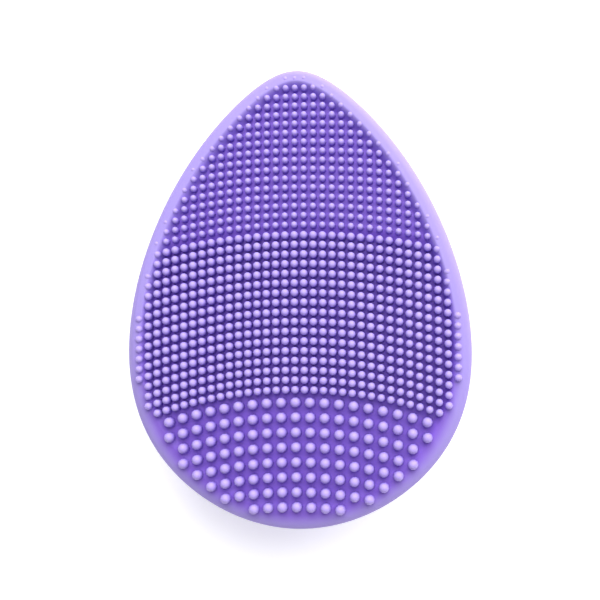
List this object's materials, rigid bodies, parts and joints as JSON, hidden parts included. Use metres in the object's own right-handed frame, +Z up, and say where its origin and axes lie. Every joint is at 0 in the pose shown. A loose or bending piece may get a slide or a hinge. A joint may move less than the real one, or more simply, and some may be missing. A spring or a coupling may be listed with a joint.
{
  "type": "facial cleansing brush",
  "caption": "Teardrop silicone facial cleansing pad with three fields of bristles, a flexible grip neck and a swivelling suction cup on its back.",
  "frame": {"origin": "on the surface that the suction cup stands on, under the middle of the pad's length and width", "axes": "+Z up, out of the bristle face; +Y to the pointed end of the pad; +X to the right when the bristle face is seen with its point up"},
  "size_m": [0.06, 0.08, 0.025],
  "materials": {
    "pad_silicone": "satin moulded silicone, lilac",
    "rim_silicone": "satin moulded silicone, lilac, smooth rolled edge",
    "fine_bristle_silicone": "soft satin silicone, lilac, lighter at the tips",
    "medium_bristle_silicone": "soft satin silicone, lilac, lighter at the tips",
    "large_bristle_silicone": "soft satin silicone, lilac, lighter at the tips",
    "grip_silicone": "satin moulded silicone, lilac",
    "cup_silicone": "smooth glossier silicone, lilac, slightly clear",
    "stud_plastic": "moulded plastic, pale lilac"
  },
  "bodies": {
    "lip": {"suction_lip": "cup_silicone", "pull_tab": "cup_silicone", "suction_skirt": "cup_silicone"},
    "hub": {"cup_stud": "stud_plastic"},
    "grip": {"grip_collar": "grip_silicone"},
    "neck": {"flex_neck": "grip_silicone"},
    "pad": {"pad_base": "pad_silicone", "rim_lip": "rim_silicone", "fine_row_01": "fine_bristle_silicone", "fine_row_02": "fine_bristle_silicone", "fine_row_03": "fine_bristle_silicone", "fine_row_04": "fine_bristle_silicone", "fine_row_05": "fine_bristle_silicone", "fine_row_06": "fine_bristle_silicone", "fine_row_07": "fine_bristle_silicone", "fine_row_08": "fine_bristle_silicone", "fine_row_09": "fine_bristle_silicone", "fine_row_10": "fine_bristle_silicone", "fine_row_11": "fine_bristle_silicone", "fine_row_12": "fine_bristle_silicone", "fine_row_13": "fine_bristle_silicone", "fine_row_14": "fine_bristle_silicone", "fine_row_15": "fine_bristle_silicone", "fine_row_16": "fine_bristle_silicone", "fine_row_17": "fine_bristle_silicone", "medium_row_01": "medium_bristle_silicone", "medium_row_02": "medium_bristle_silicone", "medium_row_03": "medium_bristle_silicone", "medium_row_04": "medium_bristle_silicone", "medium_row_05": "medium_bristle_silicone", "medium_row_06": "medium_bristle_silicone", "medium_row_07": "medium_bristle_silicone", "medium_row_08": "medium_bristle_silicone", "medium_row_09": "medium_bristle_silicone", "medium_row_10": "medium_bristle_silicone", "medium_row_11": "medium_bristle_silicone", "medium_row_12": "medium_bristle_silicone", "medium_row_13": "medium_bristle_silicone", "medium_row_14": "medium_bristle_silicone", "medium_row_15": "medium_bristle_silicone", "medium_row_16": "medium_bristle_silicone", "medium_row_17": "medium_bristle_silicone", "large_row_01": "large_bristle_silicone", "large_row_02": "large_bristle_silicone", "large_row_03": "large_bristle_silicone", "large_row_04": "large_bristle_silicone", "large_row_05": "large_bristle_silicone", "large_row_06": "large_bristle_silicone", "large_row_07": "large_bristle_silicone", "large_row_08": "large_bristle_silicone"}
  },
  "joints": [
    {"name": "cup_press", "type": "slide", "parent": "lip", "child": "hub", "axis": [0, 0, -1], "range_m": [0, 0.0035], "stiffness_N_per_m": 1000, "deforming": ["suction_skirt"]},
    {"name": "cup_swivel", "type": "hinge", "parent": "hub", "child": "grip", "pos_m": [0, -0.005, 0.0115], "axis": [0, 0, 1], "continuous": true},
    {"name": "neck_nod", "type": "hinge", "parent": "grip", "child": "neck", "pos_m": [0, -0.005, 0.0162], "axis": [1, 0, 0], "range_deg": [-15, 15], "stiffness_Nm_per_rad": 0.2, "deforming": ["flex_neck"]},
    {"name": "neck_rock", "type": "hinge", "parent": "neck", "child": "pad", "pos_m": [0, -0.005, 0.0162], "axis": [0, 1, 0], "range_deg": [-15, 15], "stiffness_Nm_per_rad": 0.2, "deforming": ["flex_neck"]}
  ]
}
